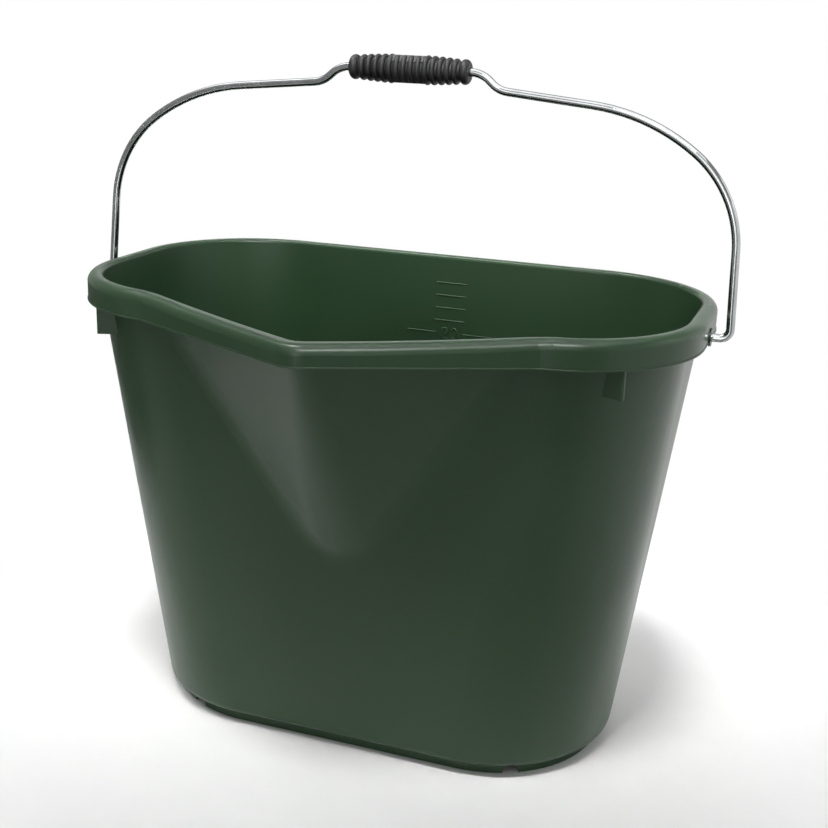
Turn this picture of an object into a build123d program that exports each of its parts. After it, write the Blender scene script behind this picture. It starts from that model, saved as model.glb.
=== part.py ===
from build123d import *
import math
import os

# Builders bucket: one oval moulding with a pouring spout, carried by a wire bail with a ribbed roller grip.
# Millimetres, +Z up. X runs along the bucket, and the spout points along -Y.
# Shapes are drawn with the bail's pivot axis over Y = 0. At the end they move back, so that the origin lies on
# the ground under the middle of the box around the bucket.

# Moulding, overall
HEIGHT = 343.0
RIM_LENGTH = 464.5
RIM_WIDTH = 254.5
RIM_CORNER = 100.0
BASE_LENGTH = 368.5
BASE_WIDTH = 195.0
BASE_CORNER = 96.0
BASE_ROUND = 6.0
WALL = 3.0
FLOOR = 3.5
FLOOR_ROUND = 4.0

# Rim: a rounded lip with a skirt turned down outside the wall, and a parting line along the skirt's lower edge
RIM_OVERHANG = 8.0
RIM_TOP = 3.0
OUTER_ROUND_SHARE = 0.60
INNER_ROUND_SHARE = 0.28
SKIRT = 2.5
SKIRT_HEIGHT = 20.0
PARTING_HEIGHT = 1.3
PARTING_PROUD = 0.5

# Spout: two straight arms that meet at a rounded tip, and fold into the front wall below
SPOUT_REACH = 196.5
SPOUT_END_GAP = 90.25
SPOUT_TIP_ROUND = 22.0
SPOUT_KINK_ROUND = 8.0
SPOUT_DIP = 5.0
SPOUT_FOOT = 141.5
SPOUT_FOOT_ROUND = 68.5
SPOUT_BLEND = 30.0
SPOUT_ROOT = 15.0

# Foot ring with a drain notch at each corner
FOOT_HEIGHT = 9.5
FOOT_INSET = 9.0
FOOT_WALL = 3.5
NOTCH_RADIUS = 6.5
NOTCH_TURN = 62.0

# Nesting fins between wall and skirt, one at each corner
FIN_THICKNESS = 3.2
FIN_DROP = 39.5
FIN_TURN = 51.5
FIN_LEAN = 22.0
FIN_ROUND = 1.2

# Pivots in the ends of the skirt
PIVOT_DROP = 16.7
PIVOT_CLEARANCE = 0.1
BOSS_RADIUS = 6.4
BOSS_PROUD = 1.2

# Bail wire, in its own plane
WIRE = 6.0
BAIL_OUTSET = 13.5
BAIL_HEIGHT = 169.7
BAIL_LEAN = 4.3
LEG_LEAN = 2.5
END_BEND = 6.5
END_GAP = 1.5
END_CHAMFER = 0.8
SHOULDER_LOW = 84.0
SHOULDER_HIGH = 146.5
SHOULDER_HIGH_TURN = 31.0
TOP_SLOPE = 5.3
OFFSET_BEND = 21.0
OFFSET_TURN = 45.0

# Grip
GRIP_LENGTH = 91.0
GRIP_RINGS = 16
GRIP_RING_WIDTH = 4.2
GRIP_END_RING = 4.6
GRIP_END_FACE = 6.6
GRIP_MIDDLE = 21.4
GRIP_ENDS = 17.4
GROOVE = 2.1
GRIP_CLEARANCE = 0.1
GRIP_PAD_RINGS = 5
GRIP_PAD_CUT = 1.0
GRIP_PAD_WIDTH = 8.0
GRIP_PAD_FOOT = 15.0
GRIP_PLAY = 1.0

# Values that follow from the sizes above
REACH = 2 * SPOUT_REACH
SPOUT_HALF_WIDTH = RIM_LENGTH / 2 - SPOUT_END_GAP
ARM_ANGLE = math.atan2(SPOUT_REACH - RIM_WIDTH / 2, SPOUT_HALF_WIDTH)
ARM_SLOPE = math.tan(ARM_ANGLE)
OUTER_ROUND = (RIM_OVERHANG + WALL) * OUTER_ROUND_SHARE
INNER_ROUND = (RIM_OVERHANG + WALL) * INNER_ROUND_SHARE
SKIRT_Z = HEIGHT - SKIRT_HEIGHT
PIVOT_Z = HEIGHT - PIVOT_DROP
BAIL_SPAN = RIM_LENGTH + 2 * BAIL_OUTSET
SPOUT_TIP = SPOUT_REACH - SPOUT_TIP_ROUND * (1 / math.cos(ARM_ANGLE) - 1)
BACK_SHIFT = (SPOUT_TIP - RIM_WIDTH / 2) / 2
CORNERS = [(1, 1), (-1, 1), (-1, -1), (1, -1)]


def between(low, high, share):
    return low + (high - low) * share


def oval(length, width, corner):
    """A straight-sided oval in plan."""
    return RectangleRounded(length, width, min(corner, width / 2 - 0.5, length / 2 - 0.5))


def wall_section(z, inset):
    """The oval wall's face at height z, moved in by inset."""
    share = (z - FOOT_HEIGHT) / (HEIGHT - FOOT_HEIGHT)
    length = between(BASE_LENGTH, RIM_LENGTH - 2 * RIM_OVERHANG, share)
    width = between(BASE_WIDTH, RIM_WIDTH - 2 * RIM_OVERHANG, share)
    corner = between(BASE_CORNER, RIM_CORNER - RIM_OVERHANG, share)
    return Pos(0, 0, z) * oval(length - 2 * inset, width - 2 * inset, corner - inset)


def wall_half(z, size_at_base, size_at_rim):
    """Half of the wall's length or width at height z."""
    share = (z - FOOT_HEIGHT) / (HEIGHT - FOOT_HEIGHT)
    return between(size_at_base, size_at_rim - 2 * RIM_OVERHANG, share) / 2


def arms(tip, half_width, tip_round):
    """The two arms of the spout as a flat triangle with a rounded tip."""
    back = half_width * ARM_SLOPE - tip
    triangle = make_face(Polyline((0, -tip), (half_width, back), (-half_width, back), close=True))
    return fillet(triangle.vertices().sort_by(Axis.Y)[0], tip_round)


def spout_section(z, inset):
    """The spout's section at height z: sharp under the rim, wide and round where it meets the wall."""
    share = (z - SPOUT_FOOT) / (HEIGHT - SPOUT_FOOT)
    foot_tip = wall_half(SPOUT_FOOT, BASE_WIDTH, RIM_WIDTH)
    tip = between(foot_tip, SPOUT_REACH - RIM_OVERHANG / math.cos(ARM_ANGLE), share)
    tip_round = between(SPOUT_FOOT_ROUND, SPOUT_TIP_ROUND - RIM_OVERHANG, share)
    foot_half = SPOUT_FOOT_ROUND * math.sin(ARM_ANGLE) + SPOUT_ROOT
    half_width = between(foot_half, SPOUT_HALF_WIDTH + SPOUT_ROOT, share)
    return Pos(0, 0, z) * arms(tip - inset / math.cos(ARM_ANGLE), half_width, tip_round - inset)


def vessel(bottom, top, inset):
    """The solid inside the wall's face moved in by inset, with the spout blended into its front."""
    sides = loft([wall_section(bottom, inset), wall_section(top, inset)], ruled=True)
    spout = loft([spout_section(SPOUT_FOOT, inset), spout_section(top, inset)], ruled=True)
    joined = sides + spout
    folds = new_edges(sides, spout, combined=joined)
    return fillet(folds, SPOUT_BLEND + inset)


def rim_outline(inset):
    """The rim in plan, moved in by inset: the oval and the arms of the spout."""
    sides = oval(RIM_LENGTH - 2 * inset, RIM_WIDTH - 2 * inset, RIM_CORNER - inset)
    tip = SPOUT_REACH - inset / math.cos(ARM_ANGLE)
    outline = sides + arms(tip, SPOUT_HALF_WIDTH + SPOUT_ROOT, SPOUT_TIP_ROUND - inset)
    kink_round = SPOUT_KINK_ROUND + inset
    return offset(offset(outline, kink_round), -kink_round)


def above_lip(drop):
    """The space above the lip, lowered by drop: flat, and dipping in one arc between the spout's kinks."""
    half = SPOUT_HALF_WIDTH + SPOUT_ROOT / 2
    far = RIM_LENGTH
    sag = ThreePointArc((-half, 0), (0, -SPOUT_DIP), (half, 0))
    lid = Polyline((half, 0), (far, 0), (far, far), (-far, far), (-far, 0), (-half, 0))
    profile = make_face([sag, lid])
    front = Plane(origin=(0, -RIM_WIDTH / 4, HEIGHT - drop), x_dir=(1, 0, 0), z_dir=(0, -1, 0))
    return extrude(front * profile, REACH)


def parting_line():
    """The low ridge that the mould leaves along the skirt's lower edge."""
    ridge = extrude(Pos(0, 0, SKIRT_Z) * rim_outline(-PARTING_PROUD), PARTING_HEIGHT)
    levels = ridge.edges().group_by(Axis.Z)
    return fillet(levels[0] + levels[-1], PARTING_PROUD * 0.8)


def channel():
    """The space inside the skirt, filled in over the hollow too, with a round top."""
    space = extrude(Pos(0, 0, SKIRT_Z) * rim_outline(SKIRT), SKIRT_HEIGHT - RIM_TOP)
    space -= above_lip(RIM_TOP)
    inside = rim_outline(SKIRT + 1).face()
    top = space.faces().filter_by(lambda face: face.normal_at().Z > 0.9)
    border = [edge for edge in top.edges() if not inside.is_inside(Vector((edge @ 0.5).X, (edge @ 0.5).Y, 0))]
    return fillet(border, OUTER_ROUND - SKIRT)


def rim():
    """The lip and skirt, with the channel inside the skirt open below."""
    outside = extrude(Pos(0, 0, SKIRT_Z) * rim_outline(0), SKIRT_HEIGHT)
    return outside + parting_line() - channel()


def fins():
    """Upright fins between wall and skirt that keep stacked buckets apart."""
    length = 3 * (RIM_OVERHANG + WALL)
    drop = FIN_DROP - RIM_TOP / 2
    middle_z = HEIGHT - RIM_TOP / 2 - drop / 2
    plate = Pos(-length / 2, 0, middle_z) * Box(length, FIN_THICKNESS, drop)
    outer_edges = plate.edges().filter_by(Axis.Z).group_by(Axis.X)[-1]
    plate = fillet(outer_edges, FIN_ROUND)
    reach = RIM_CORNER - SKIRT / 3
    turn = math.radians(FIN_TURN)
    end_x = RIM_LENGTH / 2 - RIM_CORNER + reach * math.cos(turn)
    end_y = RIM_WIDTH / 2 - RIM_CORNER + reach * math.sin(turn)
    corner = Pos(end_x, -end_y, 0) * Rot(0, 0, -FIN_LEAN) * plate
    pair = [corner, mirror(corner, about=Plane.YZ)]
    return pair + [mirror(fin, about=Plane.XZ) for fin in pair]


def foot_ring():
    """The ring that the bucket stands on, with a half-round drain notch at each corner."""
    length = BASE_LENGTH - 2 * FOOT_INSET
    width = BASE_WIDTH - 2 * FOOT_INSET
    corner = BASE_CORNER - FOOT_INSET
    rise = FOOT_HEIGHT + FLOOR / 2
    ring = extrude(oval(length, width, corner), rise)
    ring -= extrude(oval(length - 2 * FOOT_WALL, width - 2 * FOOT_WALL, corner - FOOT_WALL), rise)
    notch = Pos(corner, 0, 0) * Rot(0, 90, 0) * Cylinder(NOTCH_RADIUS, 4 * FOOT_WALL)
    for side_x, side_y in CORNERS:
        turn = math.degrees(math.atan2(side_y * math.sin(math.radians(NOTCH_TURN)),
                                       side_x * math.cos(math.radians(NOTCH_TURN))))
        middle = Pos(side_x * (length / 2 - corner), side_y * (width / 2 - corner), 0)
        ring -= middle * Rot(0, 0, turn) * notch
    return ring


def pivot_bosses():
    """A round boss in each end of the skirt, around the pivot hole."""
    depth = SKIRT + BOSS_PROUD
    middle = RIM_LENGTH / 2 - SKIRT + depth / 2
    boss = Rot(0, 90, 0) * Cylinder(BOSS_RADIUS, depth)
    return [Pos(side * middle, 0, PIVOT_Z) * boss for side in (-1, 1)]


def pivot_holes():
    """Running holes for the ends of the bail, through boss and skirt only."""
    depth = SKIRT + BOSS_PROUD
    middle = RIM_LENGTH / 2 - SKIRT + depth / 2
    hole = Rot(0, 90, 0) * Cylinder(WIRE / 2 + PIVOT_CLEARANCE, depth + 2)
    return [Pos(side * middle, 0, PIVOT_Z) * hole for side in (-1, 1)]


def bucket_body():
    outside = vessel(FOOT_HEIGHT, HEIGHT, 0)
    low_edges = outside.edges().group_by(Axis.Z)[0]
    outside = fillet(low_edges, BASE_ROUND)
    body = outside + rim() + fins() + foot_ring() + pivot_bosses()
    hollow = vessel(FOOT_HEIGHT + FLOOR, HEIGHT + FLOOR, WALL)
    body -= fillet(hollow.edges().group_by(Axis.Z)[0], FLOOR_ROUND)
    body -= above_lip(0)
    body -= pivot_holes()
    return round_lip(body)


def lip_edges(body, inner):
    """The edges along the inner or the outer side of the lip's top."""
    lowest = HEIGHT - SPOUT_DIP - RIM_TOP / 2
    inside = rim_outline(RIM_OVERHANG).face()
    lip = body.faces().filter_by(lambda face: face.normal_at().Z > 0.9 and face.center().Z > lowest)
    found = []
    for edge in lip.edges():
        ends = [inside.is_inside(Vector((edge @ at).X, (edge @ at).Y, 0)) for at in (0, 1)]
        if ends == [inner, inner]:
            found.append(edge)
    return found


def round_lip(body):
    """Round the lip: wide towards the skirt, smaller on the inner edge."""
    body = fillet(lip_edges(body, False), OUTER_ROUND)
    return fillet(lip_edges(body, True), INNER_ROUND)


def bail_path():
    """The right half of the wire in the bail's own plane, from the middle of the grip to the pivot end."""
    slope = math.radians(-TOP_SLOPE)
    turn = math.radians(SHOULDER_HIGH_TURN)
    leg = math.radians(LEG_LEAN - 90)
    hold = Line((0, BAIL_HEIGHT), (GRIP_LENGTH / 2 + GRIP_PLAY, BAIL_HEIGHT))
    fall = JernArc(hold @ 1, hold % 1, OFFSET_BEND, -OFFSET_TURN)
    ease = JernArc(fall @ 1, fall % 1, OFFSET_BEND, OFFSET_TURN - TOP_SLOPE)
    # the top and the leg are as long as the span and the height leave them
    arc_x = SHOULDER_HIGH * (math.sin(slope) - math.sin(slope - turn))
    arc_x += SHOULDER_LOW * (math.sin(slope - turn) - math.sin(leg))
    arc_y = SHOULDER_HIGH * (math.cos(slope - turn) - math.cos(slope))
    arc_y += SHOULDER_LOW * (math.cos(leg) - math.cos(slope - turn))
    leg_foot = END_BEND * (1 - math.cos(leg))
    left_x = BAIL_SPAN / 2 - leg_foot / math.tan(-leg) - (ease @ 1).X - arc_x
    left_y = END_BEND * (1 + math.sin(math.radians(LEG_LEAN))) - (ease @ 1).Y - arc_y
    top_length = (left_x * math.sin(leg) - left_y * math.cos(leg)) / math.sin(leg - slope)
    leg_length = (left_y * math.cos(slope) - left_x * math.sin(slope)) / math.sin(leg - slope)
    top = Line(ease @ 1, ease @ 1 + top_length * (ease % 1))
    high = JernArc(top @ 1, top % 1, SHOULDER_HIGH, -SHOULDER_HIGH_TURN)
    low = JernArc(high @ 1, high % 1, SHOULDER_LOW, math.degrees(leg - slope + turn))
    side = Line(low @ 1, low @ 1 + leg_length * (low % 1))
    bend = JernArc(side @ 1, side % 1, END_BEND, -90 - LEG_LEAN)
    wall_face = wall_half(PIVOT_Z, BASE_LENGTH, RIM_LENGTH)
    end = Line(bend @ 1, (wall_face + END_GAP, (bend @ 1).Y))
    return Wire([edge.edge() for edge in (hold, fall, ease, top, high, low, side, bend, end)])


def bail():
    """The carrying wire: a cranked top for the grip, round shoulders, and ends bent in to the pivots."""
    upright = Plane(origin=(0, 0, PIVOT_Z), x_dir=(1, 0, 0), z_dir=(0, -1, 0))
    path = upright * bail_path()
    start = Plane(origin=path @ 0, z_dir=path % 0)
    half = sweep(start * Circle(WIRE / 2), path=path)
    tip = half.edges().filter_by(GeomType.CIRCLE).sort_by_distance(path @ 1)[0]
    half = chamfer(tip, END_CHAMFER)
    return lean(half + mirror(half, about=Plane.YZ))


def lean(shape):
    """Tip a shape back with the bail, about the pivot axis."""
    return shape.rotate(Axis((0, 0, PIVOT_Z), (1, 0, 0)), -BAIL_LEAN)


def grip_crest(x):
    """Radius over the rings, fullest in the middle."""
    share = x / (GRIP_LENGTH / 2 - GRIP_END_RING)
    return between(GRIP_MIDDLE, GRIP_ENDS, share * share) / 2


def grip_profile():
    """Half section of the grip: round rings, narrow grooves between them, and round ends."""
    bore = WIRE / 2 + GRIP_CLEARANCE
    end = GRIP_LENGTH / 2
    first = GRIP_END_RING - end
    pitch = -2 * first / (GRIP_RINGS - 1)
    half = GRIP_RING_WIDTH / 2
    edges = []
    start = (-end, GRIP_END_FACE)
    for ring in range(GRIP_RINGS):
        x = first + ring * pitch
        low = grip_crest(x) - GROOVE
        if ring > 0:
            edges.append(Line(start, (x - half, low)))
            start = (x - half, low)
        stop = (x + half, low) if ring < GRIP_RINGS - 1 else (end, GRIP_END_FACE)
        edges.append(ThreePointArc(start, (x, grip_crest(x)), stop))
        start = stop
    edges.append(Polyline((end, GRIP_END_FACE), (end, bore), (-end, bore), (-end, GRIP_END_FACE)))
    return make_face(edges)


def grip():
    """The roller: ringed all round, with two opposite flats that fill the grooves of the middle rings."""
    section = Plane(origin=(0, 0, PIVOT_Z + BAIL_HEIGHT), x_dir=(1, 0, 0), z_dir=(0, -1, 0))
    axis = Axis((0, 0, PIVOT_Z + BAIL_HEIGHT), (1, 0, 0))
    roller = revolve(section * grip_profile(), axis)
    pitch = (GRIP_LENGTH - 2 * GRIP_END_RING) / (GRIP_RINGS - 1)
    length = GRIP_PAD_RINGS * pitch
    flat = GRIP_MIDDLE / 2 - GRIP_PAD_CUT
    low = WIRE / 2 + GROOVE
    middle = Pos(0, 0, PIVOT_Z + BAIL_HEIGHT)
    top = GRIP_PAD_WIDTH / 2
    foot = GRIP_PAD_FOOT / 2
    web = make_face(Polyline((-foot, low), (foot, low), (top, flat), (-top, flat), close=True))
    across = Plane(origin=(-length / 2, 0, 0), x_dir=(0, 1, 0), z_dir=(1, 0, 0))
    pad = extrude(across * web, length)
    for side in (-1, 1):
        above = Box(length, GRIP_MIDDLE, GRIP_MIDDLE, align=(Align.CENTER, Align.CENTER, Align.MIN))
        turn = middle * Rot(90 - 90 * side, 0, 0)
        roller -= turn * Pos(0, 0, flat) * above
        roller += turn * pad
    return lean(roller)


os.makedirs("parts", exist_ok=True)
NODES = {"bucket_body": bucket_body(), "bail": bail(), "grip": grip()}
for name, solid in NODES.items():
    export_step(Pos(0, BACK_SHIFT, 0) * solid, f"parts/{name}.step")
    print(name, round(solid.volume), "mm3", len(solid.solids()), "solid", solid.is_valid)
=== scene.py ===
import math

import bpy
from mathutils import Matrix, Vector


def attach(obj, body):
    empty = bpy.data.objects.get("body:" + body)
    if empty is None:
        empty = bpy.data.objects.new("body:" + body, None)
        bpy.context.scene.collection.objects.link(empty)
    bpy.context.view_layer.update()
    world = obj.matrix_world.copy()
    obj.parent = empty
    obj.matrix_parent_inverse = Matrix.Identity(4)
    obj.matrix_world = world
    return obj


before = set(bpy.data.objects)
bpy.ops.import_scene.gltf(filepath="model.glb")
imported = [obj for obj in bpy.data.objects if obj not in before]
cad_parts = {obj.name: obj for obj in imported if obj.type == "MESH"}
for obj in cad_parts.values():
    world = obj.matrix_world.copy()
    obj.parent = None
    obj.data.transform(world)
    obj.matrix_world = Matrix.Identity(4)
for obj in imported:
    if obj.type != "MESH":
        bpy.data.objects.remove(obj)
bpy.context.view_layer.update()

MM = 0.001

# Sizes of the moulding, in millimetres, as in the part's source
HEIGHT = 343.0
RIM_LENGTH = 464.5
RIM_WIDTH = 254.5
RIM_CORNER = 100.0
RIM_OVERHANG = 8.0
BASE_LENGTH = 368.5
BASE_WIDTH = 195.0
BASE_CORNER = 96.0
WALL = 3.0
FOOT_HEIGHT = 9.5
BACK_SHIFT = 33.387

# Litre scale inside the back wall, in litres and millimetres
SCALE_FIRST = 5
SCALE_LAST = 24
SCALE_KNOWN = 20
NUMBER_EVERY = 5
CUBIC_MM_PER_LITRE = 1e6
SCALE_KNOWN_Z = 278.6
SCALE_STEP = 10.5
SCALE_X = 5.8
MARK_LENGTH = 25.5
LONG_MARK = 24.7
LONG_MARK_GAP = 24.3
RIB_RADIUS = 0.5
RIB_ROUNDING = 2
DIGIT_STEP = 8.1
DIGIT_HALF_WIDTH = 2.5
DIGIT_HALF_HEIGHT = 4.4
CLOSED_WITHIN = 0.01

# Colours as they look on the screen, from 0 to 255
GREEN_DEEP = (42, 66, 43)
GREEN_LIGHT = (47, 71, 48)
# The litre marks are a lighter green than the wall: a painted highlight, standing in for the light that the
# rounded ribs catch
PAINTED_HIGHLIGHT_MARKS_DEEP = (50, 74, 52)
PAINTED_HIGHLIGHT_MARKS_LIGHT = (56, 80, 58)
ZINC_DULL = (168, 171, 172)
ZINC_BRIGHT = (186, 188, 189)
GRIP_DARK = (24, 24, 25)
GRIP_DUSTY = (40, 41, 42)
PAPER_DARK = (238, 238, 238)
PAPER_PALE = (243, 243, 242)
CARD_GREY = (105, 105, 105)

# Finishes: features per metre, depths in metres, and ranges of roughness
GREEN_CLOUDS = 9.0
GREEN_SHEEN = 14.0
GREEN_SHEEN_STRETCH = (1.0, 1.0, 0.5)
GREEN_ROUGHNESS = (0.28, 0.34)
GREEN_IOR = 1.42
GREEN_SPECULAR = 0.42
GREEN_WAVES = 7.0
GREEN_WAVE_STRETCH = (1.4, 1.4, 0.5)
GREEN_WAVE_DEPTH = 0.0025
GREEN_GRAIN = 700.0
GREEN_GRAIN_DEPTH = 0.00002
ZINC_PATCHES = 60.0
ZINC_ROUGHNESS = (0.08, 0.12)
GRIP_PATCHES = 90.0
GRIP_ROUGHNESS = (0.44, 0.58)
GRIP_GRAIN = 1500.0
GRIP_GRAIN_DEPTH = 0.00003
PAPER_FIBRES = 40.0
MATT = 0.9

# Parts of a noise's range that are stretched over a finish
WIDE_NOISE = (0.2, 0.8)
MIDDLE_NOISE = (0.3, 0.7)
NARROW_NOISE = (0.35, 0.65)
UPPER_NOISE = (0.40, 0.75)

# Studio, in metres
FLOOR_RINGS = (0.5, 1.0)
FLOOR_RADIUS = 2.4
FLOOR_BEND = 0.6
FLOOR_EDGE = 1.4
FLOOR_SIDES = 96
BEND_STEPS = 10
SHADOW_TO_WHITE = (0.26, 0.5)
MIRRORED_SIDE = (0.7, 0.7, 0.0)
MIRRORED_FROM = (0.0, 0.45)
FLAT = (1.0, 1.0, 0.0)
CARD_HEIGHT = 0.26
CARD_LINE = ((-0.62, -0.25), (-0.62, 0.12), (-0.92, 0.72))
WORLD_STRENGTH = 0.38

# Camera, from the fit to the photograph
CAMERA_PLACE = (0.33062, -0.86425, 0.53815)
CAMERA_RIGHT = (0.9400, 0.3398, 0.0325)
CAMERA_UP = (-0.1306, 0.2703, 0.9540)
CAMERA_LENS = 56.49
SENSOR = 36.0


def material(name):
    """A new material with nodes, its node tree and its shader."""
    made = bpy.data.materials.new(name)
    made.use_nodes = True
    return made, made.node_tree, made.node_tree.nodes["Principled BSDF"]


def add(tree, kind, **values):
    """A node with its settings and its unlinked sockets filled in."""
    node = tree.nodes.new(kind)
    for key, value in values.items():
        if key in node.inputs:
            node.inputs[key].default_value = value
        else:
            setattr(node, key, value)
    return node


def noise(tree, place, scale, stretch=(1, 1, 1), detail=3.0, rough=0.5):
    """Noise over the object's own coordinates. Scale is in features per metre."""
    mapping = add(tree, "ShaderNodeMapping", Scale=stretch)
    tree.links.new(place.outputs["Object"], mapping.inputs["Vector"])
    made = add(tree, "ShaderNodeTexNoise", Scale=scale, Detail=detail, Roughness=rough)
    tree.links.new(mapping.outputs["Vector"], made.inputs["Vector"])
    return made.outputs["Fac"]


def span(tree, value, source, target=(0.0, 1.0)):
    """Stretch a value from one range to another, clamped."""
    node = add(tree, "ShaderNodeMapRange")
    for socket, number in zip(node.inputs[1:5], (*source, *target)):
        socket.default_value = number
    tree.links.new(value, node.inputs[0])
    return node.outputs[0]


def sums(tree, operation, first, second):
    """Arithmetic on two sockets."""
    node = add(tree, "ShaderNodeMath", operation=operation)
    tree.links.new(first, node.inputs[0])
    tree.links.new(second, node.inputs[1])
    return node.outputs[0]


def mix(tree, share, first, second):
    """Mix two colours by the share of the second."""
    node = add(tree, "ShaderNodeMix", data_type="RGBA")
    tree.links.new(share, node.inputs[0])
    node.inputs[6].default_value = first
    node.inputs[7].default_value = second
    return node.outputs[2]


def bump(tree, height, distance, before=None):
    """A bump of that height in metres, on top of an earlier one."""
    node = add(tree, "ShaderNodeBump", Strength=1.0, Distance=distance)
    tree.links.new(height, node.inputs["Height"])
    if before is not None:
        tree.links.new(before, node.inputs["Normal"])
    return node.outputs["Normal"]


def srgb(red, green, blue):
    """A colour written as 0 to 255 on the screen, for the shader."""
    def linear(value):
        share = value / 255
        return share / 12.92 if share <= 0.04045 else ((share + 0.055) / 1.055) ** 2.4
    return (linear(red), linear(green), linear(blue), 1.0)


# Green polyethylene: satin, with a soft cloudy sheen from the mould and faintly wavy walls
def green_plastic(name, deep, light):
    made, tree, shader = material(name)
    place = add(tree, "ShaderNodeTexCoord")
    cloud = noise(tree, place, GREEN_CLOUDS, detail=0.0)
    colour = mix(tree, span(tree, cloud, WIDE_NOISE), srgb(*deep), srgb(*light))
    tree.links.new(colour, shader.inputs["Base Color"])
    sheen = noise(tree, place, GREEN_SHEEN, stretch=GREEN_SHEEN_STRETCH, detail=0.0)
    tree.links.new(span(tree, sheen, WIDE_NOISE, GREEN_ROUGHNESS), shader.inputs["Roughness"])
    shader.inputs["IOR"].default_value = GREEN_IOR
    shader.inputs["Specular IOR Level"].default_value = GREEN_SPECULAR
    wave = noise(tree, place, GREEN_WAVES, stretch=GREEN_WAVE_STRETCH, detail=1.0)
    relief = bump(tree, wave, GREEN_WAVE_DEPTH)
    grain = noise(tree, place, GREEN_GRAIN, detail=2.0)
    relief = bump(tree, grain, GREEN_GRAIN_DEPTH, relief)
    tree.links.new(relief, shader.inputs["Normal"])
    return made


# Bright zinc plate on drawn wire, with faint cloudy patches
def zinc_wire():
    made, tree, shader = material("zinc_plated_wire")
    place = add(tree, "ShaderNodeTexCoord")
    patch = noise(tree, place, ZINC_PATCHES, detail=2.0)
    colour = mix(tree, span(tree, patch, NARROW_NOISE), srgb(*ZINC_DULL), srgb(*ZINC_BRIGHT))
    tree.links.new(colour, shader.inputs["Base Color"])
    shader.inputs["Metallic"].default_value = 1.0
    tree.links.new(span(tree, patch, MIDDLE_NOISE, ZINC_ROUGHNESS), shader.inputs["Roughness"])
    return made


# Black moulded grip, a little dusty in places
def black_plastic():
    made, tree, shader = material("black_grip_plastic")
    place = add(tree, "ShaderNodeTexCoord")
    patch = noise(tree, place, GRIP_PATCHES, detail=4.0, rough=0.6)
    colour = mix(tree, span(tree, patch, UPPER_NOISE), srgb(*GRIP_DARK), srgb(*GRIP_DUSTY))
    tree.links.new(colour, shader.inputs["Base Color"])
    tree.links.new(span(tree, patch, MIDDLE_NOISE, GRIP_ROUGHNESS), shader.inputs["Roughness"])
    grain = noise(tree, place, GRIP_GRAIN, detail=2.0)
    tree.links.new(bump(tree, grain, GRIP_GRAIN_DEPTH), shader.inputs["Normal"])
    return made


def dress(node, finish):
    """Give a node of the frame its finish."""
    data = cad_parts[node].data
    data.materials.clear()
    data.materials.append(finish)


# Litre scale: a short mark for each litre, and two long ones with a number between them every five
def at_height(base, rim, z):
    """A size of the wall at height z, from its size at the base and at the rim."""
    return base + (rim - base) * (z - FOOT_HEIGHT) / (HEIGHT - FOOT_HEIGHT)


def hollow_area(z):
    """Area of the hollow at height z, in square millimetres."""
    length = at_height(BASE_LENGTH, RIM_LENGTH - 2 * RIM_OVERHANG, z) - 2 * WALL
    width = at_height(BASE_WIDTH, RIM_WIDTH - 2 * RIM_OVERHANG, z) - 2 * WALL
    corner = at_height(BASE_CORNER, RIM_CORNER - RIM_OVERHANG, z) - WALL
    return length * width - (4 - math.pi) * corner ** 2


def back_face(x, z):
    """A point of the inner face of the back wall, in metres."""
    y = at_height(BASE_WIDTH, RIM_WIDTH - 2 * RIM_OVERHANG, z) / 2 - WALL + BACK_SHIFT
    return (x * MM, y * MM, z * MM)


def arc(middle_x, middle_y, radius_x, radius_y, start, stop, steps):
    """Points of an elliptic arc, with angles in degrees."""
    turns = [math.radians(start + (stop - start) * step / steps) for step in range(steps + 1)]
    return [(middle_x + radius_x * math.cos(turn), middle_y + radius_y * math.sin(turn)) for turn in turns]


def digit_strokes():
    """Each digit of the scale as one stroke about its middle, in millimetres."""
    wide = DIGIT_HALF_WIDTH
    tall = DIGIT_HALF_HEIGHT
    return {
        "0": arc(0, 0, wide, tall, 90, 450, 24),
        "1": [(-1.6, 2.8), (0.5, tall), (0.5, -tall)],
        "2": arc(0, 1.9, wide, wide, 165, -38, 12) + [(-wide, -tall), (2.6, -tall)],
        "5": [(2.2, tall), (-1.9, tall), (-2.2, 0.7)] + arc(-0.1, -1.6, 2.7, 2.8, 125, -145, 14),
    }


def scale_heights():
    """The height of each litre: even steps from the known line up, and by the hollow's area below it."""
    heights = {}
    for litre in range(SCALE_KNOWN, SCALE_LAST + 1):
        heights[litre] = SCALE_KNOWN_Z + SCALE_STEP * (litre - SCALE_KNOWN)
    z = SCALE_KNOWN_Z
    for litre in range(SCALE_KNOWN - 1, SCALE_FIRST - 1, -1):
        z -= CUBIC_MM_PER_LITRE / hollow_area(z)
        heights[litre] = z
    return heights


def scale_lines():
    """The strokes of the scale as points over the back wall."""
    digits = digit_strokes()
    lines = []
    for litre, z in scale_heights().items():
        if litre % NUMBER_EVERY:
            half = MARK_LENGTH / 2
            lines.append([(SCALE_X - half, z), (SCALE_X + half, z)])
            continue
        near = LONG_MARK_GAP / 2
        far = near + LONG_MARK
        lines.append([(SCALE_X - far, z), (SCALE_X - near, z)])
        lines.append([(SCALE_X + near, z), (SCALE_X + far, z)])
        number = str(litre)
        for place, digit in enumerate(number):
            shift = SCALE_X + DIGIT_STEP * (place - (len(number) - 1) / 2)
            lines.append([(shift + x, z + up) for x, up in digits[digit]])
    return lines


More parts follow.
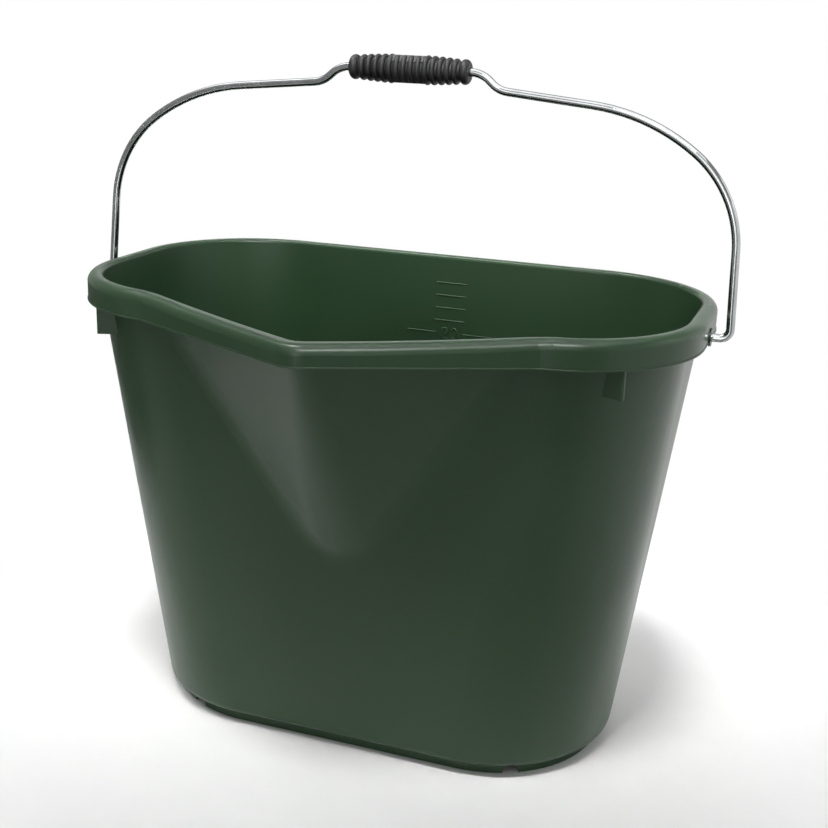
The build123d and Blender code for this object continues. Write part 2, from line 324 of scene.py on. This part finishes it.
def litre_scale(finish):
    """The scale as thin round ribs, half sunk into the back wall."""
    curve = bpy.data.curves.new("litre_scale", "CURVE")
    curve.dimensions = "3D"
    curve.bevel_depth = RIB_RADIUS * MM
    curve.bevel_resolution = RIB_ROUNDING
    curve.use_fill_caps = True
    for line in scale_lines():
        closed = len(line) > 2 and math.dist(line[0], line[-1]) < CLOSED_WITHIN
        kept = line[:-1] if closed else line
        stroke = curve.splines.new("POLY")
        stroke.points.add(len(kept) - 1)
        stroke.use_cyclic_u = closed
        for point, (x, z) in zip(stroke.points, kept):
            point.co = (*back_face(x, z), 1.0)
    drawn = bpy.data.objects.new("litre_scale_curve", curve)
    mesh = bpy.data.meshes.new_from_object(drawn)
    bpy.data.objects.remove(drawn)
    mesh.materials.clear()
    mesh.materials.append(finish)
    mesh.shade_smooth()
    made = bpy.data.objects.new("litre_scale", mesh)
    bpy.context.scene.collection.objects.link(made)
    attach(made, "bucket")


# Floor: it takes the shadow around the bucket, and is plain white further off, where it is seen or mirrored
def pale_paper():
    made, tree, shader = material("pale_paper")
    place = add(tree, "ShaderNodeTexCoord")
    fibre = noise(tree, place, PAPER_FIBRES, detail=4.0)
    colour = mix(tree, fibre, srgb(*PAPER_DARK), srgb(*PAPER_PALE))
    tree.links.new(colour, shader.inputs["Base Color"])
    shader.inputs["Roughness"].default_value = MATT
    rays = add(tree, "ShaderNodeLightPath")
    back_right = add(tree, "ShaderNodeVectorMath", operation="DOT_PRODUCT")
    back_right.inputs[1].default_value = MIRRORED_SIDE
    tree.links.new(place.outputs["Object"], back_right.inputs[0])
    mirrored = span(tree, back_right.outputs["Value"], MIRRORED_FROM)
    seen = sums(tree, "MULTIPLY", rays.outputs["Is Glossy Ray"], mirrored)
    seen = sums(tree, "MAXIMUM", seen, rays.outputs["Is Camera Ray"])
    seen = sums(tree, "MAXIMUM", seen, rays.outputs["Is Transmission Ray"])
    across = add(tree, "ShaderNodeVectorMath", operation="MULTIPLY")
    across.inputs[1].default_value = FLAT
    tree.links.new(place.outputs["Object"], across.inputs[0])
    reach = add(tree, "ShaderNodeVectorMath", operation="LENGTH")
    tree.links.new(across.outputs["Vector"], reach.inputs[0])
    away = span(tree, reach.outputs["Value"], SHADOW_TO_WHITE)
    white = add(tree, "ShaderNodeEmission", Strength=1.0)
    blend = add(tree, "ShaderNodeMixShader")
    tree.links.new(sums(tree, "MULTIPLY", seen, away), blend.inputs[0])
    tree.links.new(shader.outputs["BSDF"], blend.inputs[1])
    tree.links.new(white.outputs["Emission"], blend.inputs[2])
    tree.links.new(blend.outputs["Shader"], tree.nodes["Material Output"].inputs["Surface"])
    return made


def studio():
    """A round floor with an edge that bends up into a low wall."""
    line = [(ring, 0.0) for ring in FLOOR_RINGS]
    for step in range(BEND_STEPS + 1):
        turn = math.pi / 2 * step / BEND_STEPS
        reach = FLOOR_RADIUS - FLOOR_BEND + FLOOR_BEND * math.sin(turn)
        line.append((reach, FLOOR_BEND - FLOOR_BEND * math.cos(turn)))
    line.append((FLOOR_RADIUS, FLOOR_EDGE))
    points = [(0.0, 0.0, 0.0)]
    for reach, z in line:
        for side in range(FLOOR_SIDES):
            turn = 2 * math.pi * side / FLOOR_SIDES
            points.append((reach * math.cos(turn), reach * math.sin(turn), z))
    faces = [(0, 1 + side, 1 + (side + 1) % FLOOR_SIDES) for side in range(FLOOR_SIDES)]
    for ring in range(len(line) - 1):
        low = 1 + ring * FLOOR_SIDES
        high = low + FLOOR_SIDES
        for side in range(FLOOR_SIDES):
            following = (side + 1) % FLOOR_SIDES
            faces.append((low + side, high + side, high + following, low + following))
    mesh = bpy.data.meshes.new("studio_floor")
    mesh.from_pydata(points, [], faces)
    mesh.shade_smooth()
    mesh.materials.append(pale_paper())
    floor = bpy.data.objects.new("studio_floor", mesh)
    bpy.context.scene.collection.objects.link(floor)


def dark_card():
    """A dark card beside the view, for the darker side of the reflections."""
    made, _, shader = material("dark_card")
    shader.inputs["Base Color"].default_value = srgb(*CARD_GREY)
    shader.inputs["Roughness"].default_value = MATT
    points = [(x, y, z) for z in (0.0, CARD_HEIGHT) for x, y in CARD_LINE]
    mesh = bpy.data.meshes.new("dark_card")
    mesh.from_pydata(points, [], [(0, 1, 4, 3), (1, 2, 5, 4)])
    mesh.materials.append(made)
    card = bpy.data.objects.new("dark_card", mesh)
    card.visible_camera = False
    bpy.context.scene.collection.objects.link(card)


def lamp(name, place, aim, size, power, spread, diffuse=True, glossy=True):
    """A panel of light aimed at a point: sizes in metres, power in watts, spread in degrees."""
    data = bpy.data.lights.new(name, "AREA")
    data.shape = "RECTANGLE"
    data.size, data.size_y = size
    data.energy = power
    data.spread = math.radians(spread)
    made = bpy.data.objects.new(name, data)
    made.location = place
    made.rotation_mode = "QUATERNION"
    made.rotation_quaternion = (Vector(aim) - Vector(place)).to_track_quat("-Z", "Y")
    made.visible_camera = False
    made.visible_diffuse = diffuse
    made.visible_glossy = glossy
    bpy.context.scene.collection.objects.link(made)


def sky():
    """An even white world."""
    world = bpy.data.worlds.new("studio_world")
    bpy.context.scene.world = world
    world.use_nodes = True
    ground = world.node_tree.nodes["Background"]
    ground.inputs["Color"].default_value = (1.0, 1.0, 1.0, 1.0)
    ground.inputs["Strength"].default_value = WORLD_STRENGTH


def panel(name, place, aim, size, power):
    """A wide panel that shows only in reflections."""
    lamp(name, place, aim, size, power, spread=180, diffuse=False)


# Lamps for the bucket and the floor, and panels for the gloss of the wire, the lip and the inside
def light():
    lamp("key", place=(0.1, -0.5, 2.1), aim=(0.0, 0.16, 0.3), size=(0.6, 0.4),
         power=1.9, spread=28, glossy=False)
    panel("overhead", place=(0.5, -0.2, 2.1), aim=(0.5, -0.19, 0.0), size=(2.0, 1.8), power=18.0)
    panel("front_lip", place=(0.4, -1.1, 1.6), aim=(0.1, -0.13, 0.345), size=(0.65, 0.25), power=16.0)
    panel("back_lip", place=(-0.57, 0.0, 2.0), aim=(0.0, 0.16, 0.343), size=(0.4, 0.4), power=14.0)
    lamp("backdrop", place=(0.0, 1.1, 1.3), aim=(-0.3, 1.9, 0.0), size=(2.4, 0.4), power=6.0, spread=110)
    lamp("floor_behind", place=(-0.2, 0.9, 1.2), aim=(-0.2, 0.8, 0.0), size=(1.6, 0.5),
         power=3.0, spread=90)
    lamp("floor_left", place=(-0.7, -0.5, 1.1), aim=(-0.36, -0.2, 0.0), size=(0.4, 0.4),
         power=0.55, spread=45)
    lamp("strip", place=(0.09, -1.46, 0.27), aim=(0.0, 0.03, 0.4), size=(0.16, 0.5), power=0.14, spread=60)
    panel("sheen", place=(0.2, -1.6, 0.95), aim=(0.05, 0.1, 0.4), size=(1.4, 1.1), power=7.5)
    lamp("right", place=(1.3, 0.4, 0.8), aim=(0.5, 0.3, 0.0), size=(0.5, 0.8), power=0.6, spread=90)
    lamp("over_left", place=(-1.0, 0.3, 1.6), aim=(-0.1, 0.05, 0.25), size=(0.7, 0.7),
         power=0.25, spread=40)


def camera():
    """The photograph's view."""
    data = bpy.data.cameras.new("photo_view")
    data.sensor_width = SENSOR
    data.lens = CAMERA_LENS
    made = bpy.data.objects.new("photo_view", data)
    right = Vector(CAMERA_RIGHT).normalized()
    up = Vector(CAMERA_UP)
    up = (up - up.dot(right) * right).normalized()
    turn = Matrix((right, up, right.cross(up))).transposed()
    made.matrix_world = Matrix.Translation(CAMERA_PLACE) @ turn.to_4x4()
    bpy.context.scene.collection.objects.link(made)
    bpy.context.scene.camera = made


dress("bucket_body", green_plastic("green_polyethylene", GREEN_DEEP, GREEN_LIGHT))
dress("bail", zinc_wire())
dress("grip", black_plastic())
# The scale's ribs get a lighter green than the wall: a painted highlight on the ribs
litre_scale(green_plastic("green_marks_painted_highlight", PAINTED_HIGHLIGHT_MARKS_DEEP, PAINTED_HIGHLIGHT_MARKS_LIGHT))
studio()
dark_card()
sky()
light()
camera()
bpy.context.scene.view_settings.view_transform = "Standard"
